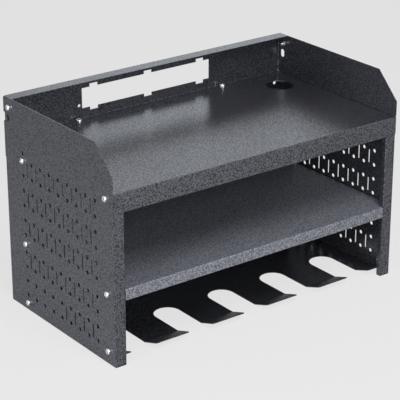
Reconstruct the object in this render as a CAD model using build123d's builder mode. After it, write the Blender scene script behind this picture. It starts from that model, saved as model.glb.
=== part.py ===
from build123d import *
import os

# Wall-hung organizer for power tools: two perforated side panels carry two shelves, a slotted tool plate and
# a back rail, all of bent sheet metal and screwed together. The frame is in millimetres, with +Z up and the
# open front facing -Y. Its origin lies under the middle of the organizer, level with the lower edges of the
# side panels. Depths are written as distances back from the front plane, and back_to() turns them into Y.

os.makedirs("parts", exist_ok=True)

# Overall size over the side panels; the height is that of the top shelf and of the rail that stands on it
width = 555.0
depth = 298.0
top_level = 279.1
rail_height = 69.9
height = top_level + rail_height

# Sheet and its bends
sheet = 1.2
bend_radius = 2.0
bend_relief = 1.5
seat_gap = 0.3

# Side panels
front_flange = 20.0
flange_return = 9.2
rear_flange = 20.0
chamfer_depth = 45.3
chamfer_drop = 43.8
top_corner_radius = 4.0
notch_height = 15.0
notch_depth = 17.5
notch_drop = 33.5

# Perforation of the side panels
peg_pitch = 25.0
peg_hole_diameter = 6.5
peg_first_column = 46.4
peg_rear_margin = 45.0
upper_row_drop = 22.9
lower_row_drop = 23.2
row_margin = 5.0
slit_width = 3.0
slit_length = 24.0
short_slit_columns = 4

# Top shelf
top_lip = 30.6
top_end_flange = 18.5
rear_tab_width = 22.0
cable_hole_diameter = 48.0
cable_hole_inset = 46.8
cable_hole_rear_inset = 60.6
wall_hole_diameter = 6.5
wall_hole_inset = 8.8
wall_hole_drop = 19.1

# Middle shelf, and how far the top shelf's rear flange, which is the back of the upper bay, reaches below it
middle_level = 124.6
middle_lip = 18.0
back_overlap = 16.0

# Tool plate: prongs between slots that are open at the front, each prong's tip bent up
slot_count = 5
slot_width = 45.5
slot_depth = 112.6
end_prong_width = 35.9
prong_setback = 1.6
prong_tip = 31.7
prong_tip_rise = 10.8
prong_corner_chamfer = 2.4
plate_flange = 21.0

# Back rail
rail_top_flange = 23.9
rail_foot_flange = 18.3
window_width = 256.0
window_margin = 17.95
window_offset = -5.2
window_notch_count = 3
window_notch_width = 15.7
window_notch_height = 5.2
window_notch_pitch = 106.6
window_notch_offset = 1.5
tie_hole_diameter = 5.0
tie_hole_gap = 5.6
hanger_slot_width = 9.3
hanger_slot_height = 13.7
hanger_slot_chamfer = 2.7
hanger_slot_inset = 12.0

# Screws and nuts
shank_diameter = 5.0
screw_hole_gap = 0.5
screw_length = 10.0
head_diameter = 9.6
head_height = 3.6
head_edge = 1.2
head_taper = 38.0
nut_across_flats = 8.0
nut_height = 4.0
nut_bore_gap = 0.1

# Screw places: distances from the edges and surfaces of the pieces that they hold
front_screw_gap = 9.3
rail_screw_inset = 15.6
rail_flange_edge = 5.7
top_screw_drop = 10.8
middle_screw_drop = 9.0
plate_screw_rise = 12.7
end_flange_gap = 1.8
end_flange_rear_gap = 31.0
foot_screw_right = 145.5

# Small rounds that repeat are polygons, which keeps the perforated sheets light. Their diameters are measured
# over the flats: octagons where they show, hexagons for shanks and for the holes that heads and nuts cover.
open_sides = 8
covered_sides = 6

# Places worked out from the sizes above
half_width = width / 2
inner_half = half_width - sheet
core_half = inner_half - bend_radius
flange_top = top_level - top_lip
upper_back_half = half_width - rear_flange - seat_gap
upper_back_foot = middle_level - back_overlap
lower_back_foot = plate_flange + seat_gap
end_flange_start = flange_return + end_flange_gap
end_flange_stop = depth - end_flange_rear_gap
prong_front = flange_return + prong_setback
prong_bend = prong_front + prong_tip
slot_pitch = (2 * (inner_half - end_prong_width) - slot_width) / (slot_count - 1)
rail_end_flange = rail_screw_inset + rail_flange_edge
screw_hole_diameter = shank_diameter + screw_hole_gap
foot_screw_back = depth - rail_foot_flange / 2
past = 1.0


def back_to(distance):
    """Y of a place that lies this far behind the front plane."""
    return distance - depth / 2


def tip_level(back):
    """Level of the underside of the bent-up prong tips, at a distance behind the front plane."""
    return prong_tip_rise * (prong_bend - back) / prong_tip


front = back_to(0)
rear = back_to(depth)
inner_rear = rear - sheet

# Columns and rows of the perforation, as distances behind the front plane and levels
column_count = int((depth - peg_first_column - peg_rear_margin) // peg_pitch) + 1
columns = [peg_first_column + peg_pitch * column for column in range(column_count)]
slit_columns = [back + peg_pitch / 2 for back in columns[:-1]]


def rows_between(top, bottom):
    """Levels of the rows from top down, at the pitch, as far as the margin above bottom allows."""
    count = int((top - bottom - row_margin) // peg_pitch) + 1
    return [top - peg_pitch * row for row in range(count)]


def pairs_of(levels):
    """Middle levels of the gaps between the rows, two by two."""
    return [(upper + lower) / 2 for upper, lower in zip(levels[0::2], levels[1::2])]


upper_rows = rows_between(top_level - upper_row_drop, middle_level)
lower_rows = rows_between(middle_level - lower_row_drop, plate_flange)
long_slit_levels = pairs_of(upper_rows) + pairs_of(lower_rows)[:-1]
short_slit_levels = pairs_of(lower_rows)[-1:]

# Screws through each side panel, as (back, level) pairs, shared by panel, flange, screw and nut
front_screw_back = flange_return + front_screw_gap
rear_screw_back = columns[-1]
joints = {
    "rail": [(depth - rail_screw_inset, height - rail_screw_inset)],
    "top_shelf": [(front_screw_back, top_level - top_screw_drop), (rear_screw_back, upper_rows[0])],
    "middle_shelf": [
        (front_screw_back, middle_level - middle_screw_drop),
        (rear_screw_back, middle_level - middle_screw_drop),
    ],
    "tool_plate": [
        (front_screw_back, tip_level(front_screw_back) + plate_screw_rise),
        (rear_screw_back, plate_screw_rise),
    ],
}
spare_holes = [(rear_screw_back, top_level - top_screw_drop)]
foot_screws = [(side * foot_screw_right, back_to(foot_screw_back)) for side in (-1, 1)]


def side_plane(x):
    """Plane parallel to the side panels: local X points back, local Y up, and its normal is +X."""
    return Plane(origin=(x, 0, 0), x_dir=(0, 1, 0), z_dir=(1, 0, 0))


def front_plane(y):
    """Plane parallel to the front: local X points right, local Y up, and its normal is -Y."""
    return Plane(origin=(0, y, 0), x_dir=(1, 0, 0), z_dir=(0, -1, 0))


def places(spots):
    """Points on a side plane from (back, level) pairs."""
    return [(back_to(back), level) for back, level in spots]


def bent_profile(*corners):
    """Outline of a bent sheet from the corners of its outer side, with the sheet on that line's left."""
    with BuildSketch() as profile:
        with BuildLine():
            FilletPolyline(*corners, radius=bend_radius)
            offset(amount=sheet, side=Side.LEFT, closed=True)
        make_face()
    return profile.sketch


def both_ends(shape):
    """A shape at the left end together with its mirror image at the right end."""
    with BuildPart() as pair:
        add(shape)
        mirror(shape, about=Plane.YZ)
    return pair.part


def side_drills(spots, diameter, sides):
    """Drills through both ends of the organizer, at (back, level) pairs."""
    with BuildPart() as drills:
        with BuildSketch(side_plane(-half_width - past)):
            with Locations(*places(spots)):
                RegularPolygon(diameter / 2, sides, major_radius=False)
        extrude(amount=width + 2 * past)
    return drills.part


def side_screw_holes(joint):
    """Drills for the side screws of one joint."""
    return side_drills(joints[joint], screw_hole_diameter, covered_sides)


def foot_drills():
    """Drills through the rail's foot flange and the top shelf under it."""
    with BuildPart() as drills:
        with BuildSketch(Plane.XY.offset(top_level - sheet - past)):
            with Locations(*foot_screws):
                RegularPolygon(screw_hole_diameter / 2, covered_sides, major_radius=False)
        extrude(amount=2 * (sheet + past))
    return drills.part


def end_strips(level, start):
    """What comes off both ends of a level sheet to make room for its end flanges and their reliefs."""
    cut_start = back_to(start - bend_relief)
    cut_stop = back_to(end_flange_stop + bend_relief)
    with BuildPart() as strip:
        with BuildSketch(Plane.XY.offset(level - bend_radius)):
            with Locations((-core_half, cut_start)):
                Rectangle(bend_radius + past, cut_stop - cut_start, align=(Align.MAX, Align.MIN))
        extrude(amount=2 * bend_radius)
    return both_ends(strip.part)


def end_flanges(level, drop, start):
    """Flanges bent down by drop at both ends of a level sheet, or bent up where drop is negative."""
    corners = [(-core_half + bend_relief, level), (-inner_half, level), (-inner_half, level - drop)]
    if drop < 0:
        corners.reverse()
    with BuildPart() as flange:
        with BuildSketch(front_plane(back_to(start))):
            add(bent_profile(*corners))
        extrude(amount=start - end_flange_stop)
    return both_ends(flange.part)


def end_tabs(*corners):
    """Flat tabs against both side panels, from (back, level) corners."""
    with BuildPart() as tab:
        with BuildSketch(side_plane(-inner_half)):
            with BuildLine():
                Polyline(*places(corners), close=True)
            make_face()
        extrude(amount=sheet)
    return both_ends(tab.part)


def rail_end_flanges():
    """Flanges bent forward at both ends of the rail, between the bend of its foot and its top flange."""
    bottom = top_level + bend_radius
    with BuildPart() as flange:
        with BuildSketch(Plane.XY.offset(bottom)):
            add(
                bent_profile(
                    (-core_half + bend_relief, rear),
                    (-inner_half, rear),
                    (-inner_half, rear - rail_end_flange),
                )
            )
        extrude(amount=height - sheet - seat_gap - bottom)
    return both_ends(flange.part)


# Left side panel: web with a flange and its return along the front edge and a flange along the rear edge
with BuildPart() as left_side_panel:
    with BuildSketch(Plane.XY):
        add(
            bent_profile(
                (-half_width + rear_flange, rear),
                (-half_width, rear),
                (-half_width, front),
                (-half_width + front_flange, front),
                (-half_width + front_flange, front + flange_return),
            )
        )
    extrude(amount=height)
    # Beside the top shelf and the rail only the flat web goes on up
    with BuildSketch(Plane.XY.offset(flange_top - seat_gap)):
        with Locations((-inner_half, 0)):
            Rectangle(front_flange + rear_flange, depth + 2 * past, align=(Align.MIN, Align.CENTER))
    extrude(amount=height, mode=Mode.SUBTRACT)
    with BuildSketch(side_plane(-half_width - past)):
        # Sloping corner at the top of the front edge
        with BuildLine():
            Polyline(
                (front - past, height + past),
                (front - past, height - chamfer_drop),
                (front, height - chamfer_drop),
                (front + chamfer_depth, height),
                (front + chamfer_depth, height + past),
                close=True,
            )
        make_face()
        # Room for the ends of the top shelf's lip, which cover the front edge
        with Locations((front - past, flange_top - seat_gap)):
            Rectangle(past + sheet + seat_gap, top_lip + 2 * seat_gap, align=Align.MIN)
        # Notch from the rear edge, with a round end
        with Locations((rear - notch_depth + notch_height / 2, height - notch_drop)):
            Circle(notch_height / 2)
            Rectangle(notch_depth, notch_height, align=(Align.MIN, Align.CENTER))
    extrude(amount=width / 2, mode=Mode.SUBTRACT)
    top_rear_corner = left_side_panel.edges().filter_by(Axis.X).group_by(Axis.Z)[-1].sort_by(Axis.Y)[-1]
    fillet(top_rear_corner, radius=top_corner_radius)
    # Peg holes, with the screw in place of the last hole of the top row
    pegs = [(back, level) for level in upper_rows + lower_rows for back in columns]
    pegs.remove((rear_screw_back, upper_rows[0]))
    add(side_drills(pegs + spare_holes, peg_hole_diameter, open_sides), mode=Mode.SUBTRACT)
    for joint in joints:
        add(side_screw_holes(joint), mode=Mode.SUBTRACT)
    slits = [(back, level) for level in long_slit_levels for back in slit_columns]
    slits += [(back, level) for level in short_slit_levels for back in slit_columns[:short_slit_columns]]
    with BuildSketch(side_plane(-half_width - past)):
        with Locations(*places(slits)):
            Rectangle(slit_width, slit_length)
    extrude(amount=sheet + 2 * past, mode=Mode.SUBTRACT)
left_side_panel.part.label = "left_side_panel"

with BuildPart() as right_side_panel:
    mirror(left_side_panel.part, about=Plane.YZ)
right_side_panel.part.label = "right_side_panel"

# Top shelf: lip over the full width, rear flange with wall holes, end flanges with a longer tab at the rear
with BuildPart() as top_shelf:
    with BuildSketch(side_plane(-inner_half)):
        add(bent_profile((rear, flange_top), (rear, top_level), (front, top_level), (front, flange_top)))
    extrude(amount=2 * inner_half)
    # The rear flange goes on down between those of the panels, as the back of the upper bay
    with BuildSketch(front_plane(rear)):
        with Locations((0, upper_back_foot)):
            Rectangle(2 * upper_back_half, flange_top - upper_back_foot, align=(Align.CENTER, Align.MIN))
    extrude(amount=sheet)
    with BuildSketch(front_plane(front)):
        with Locations((0, flange_top + top_lip / 2)):
            RectangleRounded(width, top_lip, bend_radius)
            Rectangle(2 * inner_half, top_lip, mode=Mode.SUBTRACT)
    extrude(amount=-sheet)
    add(end_strips(top_level, end_flange_start), mode=Mode.SUBTRACT)
    add(end_flanges(top_level, top_end_flange, end_flange_start))
    tab_start = rear_screw_back - rear_tab_width / 2
    tab_stop = rear_screw_back + rear_tab_width / 2
    tab_top = top_level - top_end_flange / 2
    add(end_tabs((tab_start, flange_top), (tab_stop, flange_top), (tab_stop, tab_top), (tab_start, tab_top)))
    add(side_screw_holes("top_shelf"), mode=Mode.SUBTRACT)
    add(side_drills(spare_holes, peg_hole_diameter, open_sides), mode=Mode.SUBTRACT)
    add(foot_drills(), mode=Mode.SUBTRACT)
    with BuildSketch(Plane.XY.offset(top_level - sheet - past)):
        with Locations((inner_half - cable_hole_inset, rear - cable_hole_rear_inset)):
            Circle(cable_hole_diameter / 2)
    extrude(amount=sheet + 2 * past, mode=Mode.SUBTRACT)
    with BuildSketch(front_plane(rear + past)):
        for side in (-1, 1):
            with Locations((side * (inner_half - wall_hole_inset), top_level - wall_hole_drop)):
                Circle(wall_hole_diameter / 2)
    extrude(amount=sheet + 2 * past, mode=Mode.SUBTRACT)
top_shelf.part.label = "top_shelf"

# Middle shelf: its lip lies between the front flanges of the panels. Its rear flange lies against the rear
# ones and reaches down to the tool plate's, as the back of the lower bay.
with BuildPart() as middle_shelf:
    middle_flange = middle_level - middle_lip
    with BuildSketch(side_plane(-inner_half)):
        add(
            bent_profile(
                (inner_rear, lower_back_foot),
                (inner_rear, middle_level),
                (front, middle_level),
                (front, middle_flange),
            )
        )
    extrude(amount=2 * inner_half)
    # Corners cut clear of the front flanges with their returns, and of the bends of the rear flanges
    with BuildSketch(Plane.XY.offset(lower_back_foot - past)):
        for side, align in ((-1, Align.MAX), (1, Align.MIN)):
            with Locations((side * (half_width - front_flange - seat_gap), front - past)):
                Rectangle(front_flange, past + flange_return + seat_gap, align=(align, Align.MIN))
            with Locations((side * core_half, inner_rear + past)):
                Rectangle(bend_radius + past, bend_radius + past, align=(align, Align.MAX))
    extrude(amount=middle_level - lower_back_foot + 2 * past, mode=Mode.SUBTRACT)
    add(end_strips(middle_level, end_flange_start), mode=Mode.SUBTRACT)
    add(end_flanges(middle_level, middle_lip, end_flange_start))
    add(side_screw_holes("middle_shelf"), mode=Mode.SUBTRACT)
middle_shelf.part.label = "middle_shelf"

# Tool plate: the bent sheet, cut to the outline of its prongs, with end flanges behind the tips' bend
with BuildPart() as tool_holder_plate:
    with BuildSketch(side_plane(-inner_half)):
        add(
            bent_profile(
                (back_to(prong_front), prong_tip_rise),
                (back_to(prong_bend), 0),
                (inner_rear, 0),
                (inner_rear, plate_flange),
            )
        )
    extrude(amount=2 * inner_half)
    with BuildSketch(Plane.XY) as prongs:
        with Locations((0, inner_rear)):
            plate_depth = inner_rear - back_to(prong_front)
            Rectangle(2 * inner_half, plate_depth, align=(Align.CENTER, Align.MAX))
        for side in (-1, 1):
            with Locations((side * inner_half, inner_rear)):
                Rectangle(2 * bend_radius, 2 * bend_radius, mode=Mode.SUBTRACT)
        slot_end = back_to(prong_front + slot_depth - slot_width / 2)
        for slot in range(slot_count):
            with Locations(((slot - (slot_count - 1) / 2) * slot_pitch, slot_end)):
                Circle(slot_width / 2, mode=Mode.SUBTRACT)
                Rectangle(slot_width, slot_depth, align=(Align.CENTER, Align.MAX), mode=Mode.SUBTRACT)
        chamfer(prongs.vertices().group_by(Axis.Y)[0], length=prong_corner_chamfer)
    extrude(amount=plate_flange + past, mode=Mode.INTERSECT)
    flange_start = prong_bend + 2 * bend_relief
    add(end_strips(0, flange_start), mode=Mode.SUBTRACT)
    add(end_flanges(0, -plate_flange, flange_start))
    tip_flange_stop = prong_bend - 2 * bend_relief
    add(
        end_tabs(
            (prong_front, tip_level(prong_front)),
            (tip_flange_stop, tip_level(tip_flange_stop)),
            (tip_flange_stop, tip_level(tip_flange_stop) + plate_flange),
            (prong_front, tip_level(prong_front) + plate_flange),
        )
    )
    add(side_screw_holes("tool_plate"), mode=Mode.SUBTRACT)
tool_holder_plate.part.label = "tool_holder_plate"

# Back rail: channel that stands on the top shelf, with end flanges and a notched window
with BuildPart() as back_rail:
    with BuildSketch(side_plane(-core_half)):
        add(
            bent_profile(
                (rear - rail_foot_flange, top_level),
                (rear, top_level),
                (rear, height),
                (rear - rail_top_flange, height),
            )
        )
    extrude(amount=2 * core_half)
    with BuildSketch(Plane.XY.offset(height - sheet)):
        with Locations((0, rear - bend_radius)):
            top_flange_depth = rail_top_flange - bend_radius
            Rectangle(2 * inner_half, top_flange_depth, align=(Align.CENTER, Align.MAX))
    extrude(amount=sheet)
    add(rail_end_flanges())
    with BuildSketch(front_plane(rear + past)):
        window_middle = top_level + rail_height / 2
        window_height = rail_height - 2 * window_margin
        with Locations((window_offset, window_middle)):
            Rectangle(window_width, window_height)
        for notch in range(window_notch_count):
            right = (notch - (window_notch_count - 1) / 2) * window_notch_pitch
            with Locations((window_offset + window_notch_offset + right, window_middle)):
                Rectangle(window_notch_width, window_height + 2 * window_notch_height)
        with Locations((window_offset - window_width / 2 - tie_hole_gap, window_middle - window_height / 3)):
            RegularPolygon(tie_hole_diameter / 2, open_sides, major_radius=False)
    extrude(amount=sheet + 2 * past, mode=Mode.SUBTRACT)
    with BuildSketch(side_plane(-half_width)) as hanger_slot:
        with Locations((rear - hanger_slot_inset, height - notch_drop)):
            Rectangle(hanger_slot_width, hanger_slot_height)
        chamfer(hanger_slot.vertices(), length=hanger_slot_chamfer)
    extrude(amount=width, mode=Mode.SUBTRACT)
    add(side_screw_holes("rail"), mode=Mode.SUBTRACT)
    add(foot_drills(), mode=Mode.SUBTRACT)
back_rail.part.label = "back_rail"

# Pan-head screw that points down from a seat at its origin
with BuildPart() as screw:
    with BuildSketch(Plane.XY):
        RegularPolygon(shank_diameter / 2, covered_sides, major_radius=False)
    extrude(amount=-screw_length)
    with BuildSketch(Plane.XY):
        RegularPolygon(head_diameter / 2, open_sides, major_radius=False)
    extrude(amount=head_edge)
    with BuildSketch(Plane.XY.offset(head_edge)):
        RegularPolygon(head_diameter / 2, open_sides, major_radius=False)
    extrude(amount=head_height - head_edge, taper=head_taper)

# Hexagon nut under the two sheets that the screw clamps
with BuildPart() as nut:
    with BuildSketch(Plane.XY.offset(-2 * sheet)):
        RegularPolygon(nut_across_flats / 2, 6, major_radius=False)
        RegularPolygon(
            (shank_diameter + nut_bore_gap) / 2, covered_sides, major_radius=False, mode=Mode.SUBTRACT
        )
    extrude(amount=-nut_height)

# One node of screws and one of nuts for each joint on each side
fasteners = []
for side_name, side in (("left", -1), ("right", 1)):
    for joint, spots in joints.items():
        seats = [
            Plane(origin=(side * half_width, y, level), x_dir=(0, 1, 0), z_dir=(side, 0, 0))
            for y, level in places(spots)
        ]
        ending = "s" if len(seats) > 1 else ""
        for kind, piece in (("screw", screw), ("nut", nut)):
            with BuildPart() as group:
                with Locations(*seats):
                    add(piece.part)
            group.part.label = f"{side_name}_{joint}_{kind}{ending}"
            fasteners.append(group)

# Screws and nuts that hold the rail's foot flange down on the top shelf
foot_seats = [Plane(origin=(right, y, top_level + sheet)) for right, y in foot_screws]
for kind, piece in (("screws", screw), ("nuts", nut)):
    with BuildPart() as group:
        with Locations(*foot_seats):
            add(piece.part)
    group.part.label = f"rail_foot_{kind}"
    fasteners.append(group)

sheets = [left_side_panel, right_side_panel, top_shelf, middle_shelf, tool_holder_plate, back_rail]
for node in sheets + fasteners:
    export_step(node.part, f"parts/{node.part.label}.step")
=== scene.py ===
import math

import bmesh
import bpy
from mathutils import Matrix, Vector


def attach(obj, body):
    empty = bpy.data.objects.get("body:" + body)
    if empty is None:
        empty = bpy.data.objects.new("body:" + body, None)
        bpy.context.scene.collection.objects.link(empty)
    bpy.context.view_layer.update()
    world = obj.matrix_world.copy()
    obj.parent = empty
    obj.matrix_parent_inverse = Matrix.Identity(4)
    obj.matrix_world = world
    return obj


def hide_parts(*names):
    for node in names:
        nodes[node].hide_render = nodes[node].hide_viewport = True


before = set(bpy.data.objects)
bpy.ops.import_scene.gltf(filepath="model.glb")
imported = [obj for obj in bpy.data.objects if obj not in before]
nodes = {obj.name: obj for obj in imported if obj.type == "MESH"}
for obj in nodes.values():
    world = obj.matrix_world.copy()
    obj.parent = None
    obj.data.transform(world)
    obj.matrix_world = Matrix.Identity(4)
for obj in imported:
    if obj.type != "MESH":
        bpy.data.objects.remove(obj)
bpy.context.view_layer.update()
print("frame loaded:", len(nodes), "nodes")

# The dictionaries give sizes and places in millimetres; this turns them into metres
mm = 0.001

# Places closer together than this, in millimetres, are the same place
near = 0.01

# Camera, fitted to the edges of the photographed organizer
camera = {
    "place": (-1.4859, -1.9565, 1.1761),
    "forward": (0.5565, 0.7366, -0.3843),
    "lens": 147.9,
    "sensor": 36.0,
}


def addCamera(settings):
    data = bpy.data.cameras.new("photoCamera")
    data.lens = settings["lens"]
    data.sensor_width = settings["sensor"]
    viewer = bpy.data.objects.new("photoCamera", data)
    viewer.location = settings["place"]
    viewer.rotation_euler = Vector(settings["forward"]).to_track_quat("-Z", "Y").to_euler()
    bpy.context.collection.objects.link(viewer)
    bpy.context.scene.camera = viewer


addCamera(camera)
bpy.context.scene.view_settings.view_transform = "Standard"
print("camera placed")


# Hand tools for the pieces

def pick(*pieces):
    bpy.ops.object.select_all(action="DESELECT")
    for piece in pieces:
        piece.select_set(True)
    bpy.context.view_layer.objects.active = pieces[0]


def edit(piece, mode="EDGE"):
    pick(piece)
    bpy.ops.object.mode_set(mode="EDIT")
    bpy.ops.mesh.select_mode(type=mode)
    bpy.ops.mesh.select_all(action="DESELECT")
    return bmesh.from_edit_mesh(piece.data)


def selectWhere(shape, parts, test):
    for part in parts:
        if test(part):
            part.select_set(True)
    shape.select_flush_mode()


def middleOf(edge):
    return (edge.verts[0].co + edge.verts[1].co) / (2 * mm)


def faceOutward():
    bpy.ops.mesh.select_all(action="SELECT")
    bpy.ops.mesh.normals_make_consistent(inside=False)


def leave():
    bpy.ops.object.mode_set(mode="OBJECT")


def applyModifier(piece, kind, **settings):
    pick(piece)
    modifier = piece.modifiers.new(kind.lower(), kind)
    for name, value in settings.items():
        setattr(modifier, name, value)
    bpy.ops.object.modifier_apply(modifier=modifier.name)


def settle(piece):
    pick(piece)
    bpy.ops.object.transform_apply(location=True, rotation=True, scale=True)
    return piece


def rename(piece, name):
    piece.name = name
    piece.data.name = name
    return piece


def joined(pieces, name):
    pick(*pieces)
    if len(pieces) > 1:
        bpy.ops.object.join()
    return rename(pieces[0], name)


def twinOf(piece):
    twin = piece.copy()
    twin.data = piece.data.copy()
    bpy.context.collection.objects.link(twin)
    return twin


def copyAt(piece, place):
    twin = twinOf(piece)
    twin.location = Vector(place) * mm
    return settle(twin)


def drop(*pieces):
    for piece in pieces:
        bpy.data.objects.remove(piece, do_unlink=True)


def block(low, high):
    low = Vector(low) * mm
    high = Vector(high) * mm
    bpy.ops.object.select_all(action="DESELECT")
    bpy.ops.mesh.primitive_cube_add(size=1, location=(low + high) / 2, scale=high - low)
    return settle(bpy.context.object)


def rod(place, radius, length, axis="X", sides=28, offset=0.5):
    # The offset turns the rod about its axis, as a share of one side
    turns = {"X": (0, math.pi / 2, 0), "Z": (0, 0, 0)}
    bpy.ops.object.select_all(action="DESELECT")
    bpy.ops.mesh.primitive_cylinder_add(vertices=sides, radius=radius * mm, depth=length * mm)
    piece = bpy.context.object
    piece.rotation_euler = (0, 0, offset * 2 * math.pi / sides)
    settle(piece)
    piece.rotation_euler = turns[axis]
    piece.location = Vector(place) * mm
    return settle(piece)


def combine(piece, tools, how):
    tool = joined(tools, "tool")
    applyModifier(piece, "BOOLEAN", object=tool, operation=how, solver="EXACT", use_self=False)
    drop(tool)


def breakEdges(piece, settings):
    applyModifier(
        piece,
        "BEVEL",
        width=settings["edge"] * mm,
        segments=settings["edgeSteps"],
        limit_method="ANGLE",
        angle_limit=math.radians(settings["edgeAngle"]),
    )


def smooth(piece, angle=30):
    pick(piece)
    bpy.ops.object.shade_smooth_by_angle(angle=math.radians(angle))
    applyModifier(piece, "WEIGHTED_NORMAL", keep_sharp=True)


# Sheet metal

sheet = {
    "gauge": 1.2,
    "bend": 2.0,
    "degreesPerStep": 12.0,
    "fewestSteps": 2,
}


def isFold(edge, corner):
    # Whether an edge runs along X through a (y, z) corner
    along = edge.verts[0].co - edge.verts[1].co
    return abs(along.x) > near * mm and (middleOf(edge).yz - Vector(corner)).length < near


def foldSheet(name, corners, start, stop, settings=sheet):
    # A strip along X from start to stop, folded through the (y, z) corners of its outer side. Seen from
    # +X, the gauge lies on the left of that line.
    runs = [Vector((0, b[0] - a[0], b[1] - a[1])) for a, b in zip(corners, corners[1:])]
    first = runs[0]
    middleY = (corners[0][0] + corners[1][0]) / 2
    middleZ = (corners[0][1] + corners[1][1]) / 2
    bpy.ops.object.select_all(action="DESELECT")
    bpy.ops.mesh.primitive_plane_add(size=1)
    piece = bpy.context.object
    piece.scale = (abs(stop - start) * mm, first.length * mm, 1)
    settle(piece)
    piece.rotation_euler = (math.atan2(first.z, first.y), 0, 0)
    piece.location = Vector(((start + stop) / 2, middleY, middleZ)) * mm
    settle(piece)
    shape = edit(piece)
    selectWhere(shape, shape.edges, lambda edge: isFold(edge, corners[1]))
    for run in runs[1:]:
        bpy.ops.mesh.extrude_region_move(TRANSFORM_OT_translate={"value": run * mm})
    for corner, before, after in zip(corners[1:-1], runs, runs[1:]):
        turn = before.angle(after)
        steps = round(math.degrees(turn) / settings["degreesPerStep"])
        bpy.ops.mesh.select_all(action="DESELECT")
        shape = bmesh.from_edit_mesh(piece.data)
        selectWhere(shape, shape.edges, lambda edge: isFold(edge, corner))
        bpy.ops.mesh.bevel(
            offset=settings["bend"] * math.tan(turn / 2) * mm,
            offset_type="OFFSET",
            segments=max(settings["fewestSteps"], steps),
            affect="EDGES",
            clamp_overlap=False,
        )
    leave()
    rename(piece, name)
    applyModifier(piece, "SOLIDIFY", thickness=settings["gauge"] * mm, offset=1, use_even_offset=True)
    return piece


def standUp(piece):
    # From a strip along X with (y, z) corners to one along Z with (x, y) corners
    piece.rotation_euler = Matrix(((0, 1, 0), (0, 0, 1), (1, 0, 0))).to_euler()
    return settle(piece)


# Seats of the fasteners: as (y, z) on each side, and as (x, y) on the rail's foot
sideJoints = {
    "rail": [(133.4, 333.4)],
    "top_shelf": [(-130.5, 268.3), (97.4, 256.2)],
    "middle_shelf": [(-130.5, 115.6), (97.4, 115.6)],
    "tool_plate": [(-130.5, 20.88), (97.4, 12.7)],
}
footSeats = {
    "level": 280.3,
    "spots": [(-145.5, 139.85), (145.5, 139.85)],
}

# Side panel. A screw takes the last place in its top row of peg holes.

sidePanel = {
    "outside": -277.5,
    "front": -149.0,
    "rear": 149.0,
    "height": 349.0,
    "frontFlange": 20.0,
    "flangeReturn": 9.2,
    "rearFlange": 20.0,
    "flangeTop": 248.2,
    "slope": (45.3, 43.8),
    "cornerRadius": 4.0,
    "cornerSteps": 8,
    "lipSeatDepth": 1.5,
    "lipSeatTop": 279.7,
    "notchPlace": (139.0, 315.5),
    "notchRadius": 7.5,
    "notchSides": 48,
    "pegRadius": 3.25,
    "pegColumns": [-102.6 + 25 * k for k in range(9)],
    "pegRows": [256.2, 231.2, 206.2, 181.2, 156.2, 131.2, 101.4, 76.4, 51.4, 26.4],
    "spareHole": (97.4, 268.3),
    "slitRadius": 1.5,
    "slitSides": 16,
    "slitReach": 10.5,
    "slitColumns": [-90.1 + 25 * k for k in range(8)],
    "slitRows": [243.7, 193.7, 143.7, 88.9],
    "shortSlitRow": 38.9,
    "shortSlits": 4,
    "screwRadius": 2.75,
    "drillLength": 6,
    "overlap": 1,
}


def makeWeb(settings):
    # Flat web above the flanges, with its sloping front corner and rounded rear corner
    out = settings["outside"]
    inside = out + sheet["gauge"]
    front = settings["front"]
    rear = settings["rear"]
    height = settings["height"]
    web = block((out, front, settings["flangeTop"]), (inside, rear, height))
    corner = Vector(((out + inside) / 2, rear, height))
    shape = edit(web)
    selectWhere(shape, shape.edges, lambda edge: (middleOf(edge) - corner).length < near)
    bpy.ops.mesh.bevel(
        offset=settings["cornerRadius"] * mm,
        segments=settings["cornerSteps"],
        affect="EDGES",
    )
    bpy.ops.mesh.select_all(action="SELECT")
    back, down = settings["slope"]
    bpy.ops.mesh.bisect(
        plane_co=Vector((0, front, height - down)) * mm,
        plane_no=(0, -down, back),
        use_fill=True,
        clear_outer=True,
    )
    leave()
    return web


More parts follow.
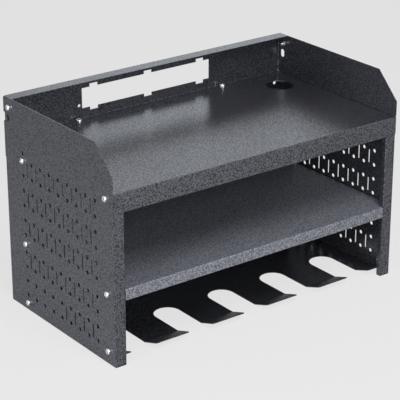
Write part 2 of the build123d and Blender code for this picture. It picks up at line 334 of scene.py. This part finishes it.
def makeSidePanel(settings):
    out = settings["outside"]
    front = settings["front"]
    rear = settings["rear"]
    flange = out + settings["frontFlange"]
    panel = standUp(
        foldSheet(
            "leftPanelSheet",
            [
                (out + settings["rearFlange"], rear),
                (out, rear),
                (out, front),
                (flange, front),
                (flange, front + settings["flangeReturn"]),
            ],
            0,
            settings["flangeTop"],
        )
    )
    combine(panel, [makeWeb(settings)], "UNION")

    # Room for the shelf's lip, and the notch from the rear edge
    over = settings["overlap"]
    cutters = [
        block(
            (out - over, front - over, settings["flangeTop"]),
            (out + sheet["gauge"] + over, front + settings["lipSeatDepth"], settings["lipSeatTop"]),
        )
    ]
    length = settings["drillLength"]
    y, z = settings["notchPlace"]
    notch = rod((out, y, z), settings["notchRadius"], length, sides=settings["notchSides"])
    shape = edit(notch, "VERT")
    selectWhere(shape, shape.verts, lambda corner: corner.co.y > y * mm)
    bpy.ops.transform.translate(value=(0, (rear - y) * mm, 0))
    leave()
    cutters.append(notch)

    # Peg holes and screw holes
    peg = rod((0, 0, 0), settings["pegRadius"], length)
    rows = settings["pegRows"]
    columns = settings["pegColumns"]
    for row in rows:
        for column in columns:
            if (row, column) != (rows[0], columns[-1]):
                cutters.append(copyAt(peg, (out, column, row)))
    cutters.append(copyAt(peg, (out, *settings["spareHole"])))
    screwHole = rod((0, 0, 0), settings["screwRadius"], length)
    for spots in sideJoints.values():
        for spot in spots:
            cutters.append(copyAt(screwHole, (out, *spot)))

    # Slits with round ends
    slit = rod((0, 0, 0), settings["slitRadius"], length, sides=settings["slitSides"])
    for side in (-1, 1):
        shape = edit(slit, "VERT")
        selectWhere(shape, shape.verts, lambda corner: corner.co.z * side > 0)
        bpy.ops.transform.translate(value=(0, 0, side * settings["slitReach"] * mm))
        leave()
    for row in settings["slitRows"]:
        for column in settings["slitColumns"]:
            cutters.append(copyAt(slit, (out, column, row)))
    for column in settings["slitColumns"][: settings["shortSlits"]]:
        cutters.append(copyAt(slit, (out, column, settings["shortSlitRow"])))
    drop(peg, screwHole, slit)
    combine(panel, cutters, "DIFFERENCE")
    smooth(panel)
    return panel


def mirrored(piece, name):
    twin = rename(twinOf(piece), name)
    twin.scale = (-1, 1, 1)
    settle(twin)
    edit(twin)
    faceOutward()
    leave()
    smooth(twin)
    return twin


leftPanel = makeSidePanel(sidePanel)
rightPanel = mirrored(leftPanel, "rightPanelSheet")
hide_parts("left_side_panel")
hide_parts("right_side_panel")
print("side panels made")

# Pan-head screw and its nut, modelled once with the seat at the origin and the shank down. The thread's
# profile goes out in thread depths and up in pitches.

panScrew = {
    "headRadius": 4.8,
    "headHeight": 3.6,
    "dome": 2.3,
    "domeSteps": 6,
    "domeProfile": 0.55,
    "recessSpan": 5.2,
    "recessWidth": 1.15,
    "recessDepth": 2.1,
    "recessTaper": (0.5, 0.8, 1),
    "recessOverlap": 1,
    "shankRadius": 2.48,
    "threadRoot": 2.12,
    "threadProfile": ((1, 0.42), (0, 0.12), (-1, 0.42), (0, 0.04)),
    "threadSteps": 20,
    "pitch": 0.8,
    "spareTurns": 4,
    "length": 10.0,
    "inHead": 0.6,
    "tipChamfer": 0.5,
    "tipRoom": 0.1,
    "sides": 40,
    "weld": 0.005,
    "cutLimit": 0.0001,
    "edge": 0.1,
    "edgeSteps": 2,
    "edgeAngle": 40,
}

hexNut = {
    "acrossFlats": 8.0,
    "height": 4.0,
    "boreRadius": 2.52,
    "boreSides": 32,
    "boreOverlap": 1,
    "chamfer": 0.72,
    "chamferRoom": 0.05,
    "chamferSides": 48,
    "top": -2.4,
    "edge": 0.08,
    "edgeSteps": 2,
    "edgeAngle": 28,
}


def makeHead(settings):
    height = settings["headHeight"]
    head = rod((0, 0, height / 2), settings["headRadius"], height, "Z", settings["sides"])
    shape = edit(head)
    selectWhere(
        shape,
        shape.edges,
        lambda edge: min(corner.co.z for corner in edge.verts) > (height - near) * mm,
    )
    bpy.ops.mesh.bevel(
        offset=settings["dome"] * mm,
        segments=settings["domeSteps"],
        affect="EDGES",
        profile=settings["domeProfile"],
    )
    leave()

    # Cross recess that narrows downward
    long = settings["recessSpan"] / 2
    wide = settings["recessWidth"] / 2
    top = height + settings["recessOverlap"]
    for turn in (0, math.pi / 2):
        slot = block((-long, -wide, height - settings["recessDepth"]), (long, wide, top))
        shape = edit(slot, "VERT")
        selectWhere(shape, shape.verts, lambda corner: corner.co.z < height * mm)
        bpy.ops.transform.resize(value=settings["recessTaper"], center_override=(0, 0, height * mm))
        leave()
        slot.rotation_euler = (0, 0, turn)
        combine(head, [settle(slot)], "DIFFERENCE")
    breakEdges(head, settings)
    return head


def makeThread(settings):
    # One groove and crest, screwed along the shank and cut to length
    length = settings["length"]
    pitch = settings["pitch"]
    inHead = settings["inHead"]
    root = settings["threadRoot"]
    crest = settings["shankRadius"]
    spare = settings["spareTurns"]
    bpy.ops.object.select_all(action="DESELECT")
    bpy.ops.mesh.primitive_plane_add(size=mm)
    thread = bpy.context.object
    edit(thread, "VERT")
    bpy.ops.mesh.select_all(action="SELECT")
    bpy.ops.mesh.merge(type="CENTER")
    bpy.ops.transform.translate(value=(root * mm, 0, (-length - spare / 2 * pitch) * mm))
    for out, up in settings["threadProfile"]:
        step = Vector((out * (crest - root), 0, up * pitch)) * mm
        bpy.ops.mesh.extrude_region_move(TRANSFORM_OT_translate={"value": step})
    leave()
    applyModifier(
        thread,
        "SCREW",
        axis="Z",
        angle=2 * math.pi,
        screw_offset=pitch * mm,
        iterations=round(length / pitch) + spare,
        steps=settings["threadSteps"],
        render_steps=settings["threadSteps"],
        use_merge_vertices=True,
        merge_threshold=settings["weld"] * mm,
    )
    edit(thread)
    bpy.ops.mesh.select_all(action="SELECT")
    bpy.ops.mesh.remove_doubles(threshold=settings["weld"] * mm)
    for level, up in ((-length, -1), (inHead, 1)):
        bpy.ops.mesh.select_all(action="SELECT")
        bpy.ops.mesh.bisect(
            plane_co=(0, 0, level * mm),
            plane_no=(0, 0, up),
            use_fill=True,
            clear_outer=True,
            threshold=settings["cutLimit"] * mm,
        )
    faceOutward()
    leave()

    # Chamfered tip
    tip = rod(
        (0, 0, (inHead - length) / 2),
        crest + settings["tipRoom"],
        length + inHead,
        "Z",
        settings["sides"],
    )
    shape = edit(tip)
    selectWhere(
        shape,
        shape.edges,
        lambda edge: max(corner.co.z for corner in edge.verts) < (near - length) * mm,
    )
    bpy.ops.mesh.bevel(offset=settings["tipChamfer"] * mm, segments=1, affect="EDGES")
    leave()
    combine(thread, [tip], "INTERSECT")
    return thread


def makeNut(settings):
    height = settings["height"]
    middle = settings["top"] - height / 2
    corner = settings["acrossFlats"] / 2 / math.cos(math.pi / 6)
    nut = rod((0, 0, middle), corner, height, "Z", 6, offset=0)
    turned = rod((0, 0, middle), corner + settings["chamferRoom"], height, "Z", settings["chamferSides"])
    shape = edit(turned)
    selectWhere(
        shape,
        shape.edges,
        lambda edge: abs(edge.verts[0].co.z - edge.verts[1].co.z) < near * mm,
    )
    bpy.ops.mesh.bevel(offset=settings["chamfer"] * mm, segments=1, affect="EDGES")
    leave()
    combine(nut, [turned], "INTERSECT")
    boreLength = height + 2 * settings["boreOverlap"]
    bore = rod((0, 0, middle), settings["boreRadius"], boreLength, "Z", settings["boreSides"])
    combine(nut, [bore], "DIFFERENCE")
    breakEdges(nut, settings)
    return nut


# Angle in degrees up to which the fasteners' faces are shaded smooth
fastenerSmooth = 35

# How far each screw was turned home, in degrees, taken in order
screwTurns = [12, 71, 38, 55, 4, 83, 27, 64, 46, 19, 77, 33, 8, 59, 22, 68]


def seated(pattern, place, toward, spin):
    twin = twinOf(pattern)
    twin.rotation_euler = (0, 0, math.radians(spin))
    settle(twin)
    twin.rotation_euler = Vector(toward).to_track_quat("Z", "Y").to_euler()
    twin.location = Vector(place) * mm
    return settle(twin)


def finishFasteners(group, node):
    words = node.split("_")
    piece = joined(group, words[0] + "".join(word.capitalize() for word in words[1:]))
    smooth(piece, fastenerSmooth)
    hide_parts(node)
    return piece


def placeFasteners():
    joints = []
    left = sidePanel["outside"]
    for side, x in (("left", left), ("right", -left)):
        for joint, spots in sideJoints.items():
            joints.append((f"{side}_{joint}", [(x, y, z) for y, z in spots], (x, 0, 0)))
    feet = [(x, y, footSeats["level"]) for x, y in footSeats["spots"]]
    joints.append(("rail_foot", feet, (0, 0, 1)))

    screw = joined([makeHead(panScrew), makeThread(panScrew)], "screwPattern")
    nut = rename(makeNut(hexNut), "nutPattern")
    turns = iter(screwTurns)
    pieces = []
    for joint, seats, toward in joints:
        ending = "s" if len(seats) > 1 else ""
        spins = [next(turns) for seat in seats]
        # Each nut was turned half as far as its screw
        for kind, pattern, share in (("screw", screw, 1), ("nut", nut, 0.5)):
            group = [seated(pattern, seat, toward, spin * share) for seat, spin in zip(seats, spins)]
            pieces.append(finishFasteners(group, f"{joint}_{kind}{ending}"))
    drop(screw, nut)
    return pieces


fastenerPieces = placeFasteners()
print("screws and nuts placed")

# Black hammertone powder coat: black lacquer with metallic flakes that gather in small cells
hammertone = {
    "lacquer": (0.011, 0.011, 0.013, 1.0),
    "flake": (0.168, 0.175, 0.206, 1.0),
    "cells": 330.0,
    "cellSoftness": 0.5,
    "flakeGrain": 430.0,
    "flakeDetail": 1.5,
    "flakeStart": 0.46,
    "flakeFull": 0.56,
    "metal": 1.0,
    "grainTurn": (0.43, 0.71, 0.29),
    "patchScale": 7.0,
    "patchDetail": 3.0,
    "roughness": (0.19, 0.30),
    "reliefDepth": 0.11 * mm,
    "edgeRadius": 0.25 * mm,
    "edgeSamples": 4,
}

# Painted light: the middle shelf's coat is a lighter and duller copy of the hammertone, so that the
# shelf shows brighter than the light reaching it under the top shelf makes it
shelfPaintedLight = {
    **hammertone,
    "lacquer": (0.066, 0.069, 0.080, 1.0),
    "flake": (0.220, 0.231, 0.273, 1.0),
    "metal": 0.3,
    "roughness": (0.38, 0.46),
}

# Bright zinc plate of the fasteners
zinc = {
    "colour": (0.78, 0.79, 0.80, 1.0),
    "roughness": (0.18, 0.34),
    "grain": 900.0,
}


def newMaterial(name):
    material = bpy.data.materials.new(name)
    material.use_nodes = True
    return material


def addNode(tree, kind, **settings):
    node = tree.nodes.new(kind)
    for name, value in settings.items():
        setattr(node, name, value)
    return node


def addNoise(tree, scale, detail=2.0):
    noise = addNode(tree, "ShaderNodeTexNoise")
    noise.inputs["Scale"].default_value = scale
    noise.inputs["Detail"].default_value = detail
    return noise


def spreadRoughness(tree, noise, span):
    rough = addNode(tree, "ShaderNodeMapRange")
    rough.inputs["To Min"].default_value = span[0]
    rough.inputs["To Max"].default_value = span[1]
    tree.links.new(noise.outputs["Fac"], rough.inputs["Value"])
    tree.links.new(rough.outputs["Result"], tree.nodes["Principled BSDF"].inputs["Roughness"])


def makeHammertone(settings, name):
    material = newMaterial(name)
    tree = material.node_tree
    link = tree.links.new
    shader = tree.nodes["Principled BSDF"]
    place = addNode(tree, "ShaderNodeTexCoord")
    # Turned, so that no sheet lies along the layers of the noise
    turned = addNode(tree, "ShaderNodeMapping")
    turned.inputs["Rotation"].default_value = settings["grainTurn"]
    link(place.outputs["Object"], turned.inputs["Vector"])

    # Small domes of the coat, flakes in it, and wide patches of more or less gloss
    domes = addNode(tree, "ShaderNodeTexVoronoi", feature="SMOOTH_F1")
    domes.inputs["Scale"].default_value = settings["cells"]
    domes.inputs["Smoothness"].default_value = settings["cellSoftness"]
    flakes = addNoise(tree, settings["flakeGrain"], settings["flakeDetail"])
    patches = addNoise(tree, settings["patchScale"], settings["patchDetail"])
    for texture in (domes, flakes, patches):
        link(turned.outputs["Vector"], texture.inputs["Vector"])
    spreadRoughness(tree, patches, settings["roughness"])

    # Where the flakes show, the coat is metallic and lighter
    mask = addNode(tree, "ShaderNodeMapRange")
    mask.inputs["From Min"].default_value = settings["flakeStart"]
    mask.inputs["From Max"].default_value = settings["flakeFull"]
    link(flakes.outputs["Fac"], mask.inputs["Value"])
    colour = addNode(tree, "ShaderNodeMix", data_type="RGBA")
    colour.inputs["A"].default_value = settings["lacquer"]
    colour.inputs["B"].default_value = settings["flake"]
    link(mask.outputs["Result"], colour.inputs["Factor"])
    link(colour.outputs["Result"], shader.inputs["Base Color"])
    metal = addNode(tree, "ShaderNodeMath", operation="MULTIPLY")
    metal.inputs[1].default_value = settings["metal"]
    link(mask.outputs["Result"], metal.inputs[0])
    link(metal.outputs["Value"], shader.inputs["Metallic"])

    # Softened sheet edges under the relief of the domes
    edge = addNode(tree, "ShaderNodeBevel")
    edge.samples = settings["edgeSamples"]
    edge.inputs["Radius"].default_value = settings["edgeRadius"]
    relief = addNode(tree, "ShaderNodeBump", invert=True)
    relief.inputs["Distance"].default_value = settings["reliefDepth"]
    link(domes.outputs["Distance"], relief.inputs["Height"])
    link(edge.outputs["Normal"], relief.inputs["Normal"])
    link(relief.outputs["Normal"], shader.inputs["Normal"])
    return material


def makeZinc(settings):
    material = newMaterial("zincPlate")
    tree = material.node_tree
    place = addNode(tree, "ShaderNodeTexCoord")
    grain = addNoise(tree, settings["grain"])
    tree.links.new(place.outputs["Object"], grain.inputs["Vector"])
    spreadRoughness(tree, grain, settings["roughness"])
    shader = tree.nodes["Principled BSDF"]
    shader.inputs["Base Color"].default_value = settings["colour"]
    shader.inputs["Metallic"].default_value = 1.0
    return material


coat = makeHammertone(hammertone, "hammertoneCoat")
shelfPaintedLightCoat = makeHammertone(shelfPaintedLight, "shelfPaintedLightCoat")
plate = makeZinc(zinc)
for name in ("top_shelf", "tool_holder_plate", "back_rail"):
    nodes[name].material_slots[0].material = coat
# The middle shelf takes the lighter copy of the coat, which paints in light that the shelf doesn't get
nodes["middle_shelf"].material_slots[0].material = shelfPaintedLightCoat
for piece in (leftPanel, rightPanel):
    piece.data.materials.append(coat)
    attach(piece, "root")
for piece in fastenerPieces:
    piece.data.materials.append(plate)
    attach(piece, "root")
print("materials made")

# Floor and room. The camera sees a small share of the floor's shadow, and whatever mirrors the floor
# shows a larger one.
room = {
    "floorSize": 12.0,
    "floorLevel": -0.05 * mm,
    "floorGlow": (0.845, 0.845, 0.845, 1.0),
    "floorColour": (0.5, 0.5, 0.5, 1.0),
    "floorRoughness": 0.9,
    "shadowSeen": 0.16,
    "shadowMirrored": 0.75,
    "background": (0.784, 0.784, 0.784, 1.0),
    "fill": 0.3,
}


def makeFloor(settings):
    bpy.ops.object.select_all(action="DESELECT")
    bpy.ops.mesh.primitive_plane_add(size=settings["floorSize"], location=(0, 0, settings["floorLevel"]))
    floor = bpy.context.object
    floor.name = "floor"
    material = newMaterial("floorPaper")
    tree = material.node_tree
    link = tree.links.new
    shader = tree.nodes["Principled BSDF"]
    shader.inputs["Base Color"].default_value = settings["floorColour"]
    shader.inputs["Roughness"].default_value = settings["floorRoughness"]
    shader.inputs["Specular IOR Level"].default_value = 0.0
    glow = addNode(tree, "ShaderNodeEmission")
    glow.inputs["Color"].default_value = settings["floorGlow"]
    rays = addNode(tree, "ShaderNodeLightPath")
    seen = addNode(tree, "ShaderNodeMath", operation="MULTIPLY")
    seen.inputs[1].default_value = 1.0 - settings["shadowSeen"]
    link(rays.outputs["Is Camera Ray"], seen.inputs[0])
    share = addNode(tree, "ShaderNodeMath", operation="MULTIPLY_ADD")
    share.inputs[1].default_value = 1.0 - settings["shadowMirrored"]
    link(rays.outputs["Is Glossy Ray"], share.inputs[0])
    link(seen.outputs["Value"], share.inputs[2])
    mix = addNode(tree, "ShaderNodeMixShader")
    link(share.outputs["Value"], mix.inputs["Fac"])
    link(shader.outputs["BSDF"], mix.inputs[1])
    link(glow.outputs["Emission"], mix.inputs[2])
    link(mix.outputs["Shader"], tree.nodes["Material Output"].inputs["Surface"])
    floor.data.materials.append(material)


def makeWorld(settings):
    world = bpy.data.worlds.new("room")
    bpy.context.scene.world = world
    world.use_nodes = True
    tree = world.node_tree
    link = tree.links.new
    backdrop = tree.nodes["Background"]
    backdrop.inputs["Color"].default_value = settings["background"]
    fill = addNode(tree, "ShaderNodeBackground")
    fill.inputs["Color"].default_value = settings["background"]
    fill.inputs["Strength"].default_value = settings["fill"]
    rays = addNode(tree, "ShaderNodeLightPath")
    seen = addNode(tree, "ShaderNodeMath", operation="MAXIMUM")
    link(rays.outputs["Is Camera Ray"], seen.inputs[0])
    link(rays.outputs["Is Glossy Ray"], seen.inputs[1])
    mix = addNode(tree, "ShaderNodeMixShader")
    link(seen.outputs["Value"], mix.inputs["Fac"])
    link(fill.outputs["Background"], mix.inputs[1])
    link(backdrop.outputs["Background"], mix.inputs[2])
    link(mix.outputs["Shader"], tree.nodes["World Output"].inputs["Surface"])


# Soft boxes: name, place, aim, size, power and colour
white = (1.0, 1.0, 1.0)
cool = (0.78, 0.90, 1.0)
lamps = (
    ("keyBox", (-0.3, -1.13, 2.02), (0.0, 0.0, 0.15), 1.0, 30.0, white),
    ("lowBox", (-0.1, -2.1, 1.0), (0.0, -0.05, 0.15), 1.0, 28.0, white),
    ("sideBox", (-2.2, -0.6, 0.4), (-0.25, -0.1, 0.15), 0.8, 48.0, white),
    ("rearBox", (1.35, 1.85, 0.85), (0.0, 0.0, 0.3), 1.0, 1.5, cool),
)


def makeLamp(name, place, aim, size, power, colour):
    data = bpy.data.lights.new(name, "AREA")
    data.shape = "SQUARE"
    data.size = size
    data.energy = power
    data.color = colour
    lamp = bpy.data.objects.new(name, data)
    lamp.location = place
    lamp.rotation_euler = (Vector(aim) - Vector(place)).to_track_quat("-Z", "Y").to_euler()
    bpy.context.collection.objects.link(lamp)


makeFloor(room)
makeWorld(room)
for lamp in lamps:
    makeLamp(*lamp)
print("room lit")
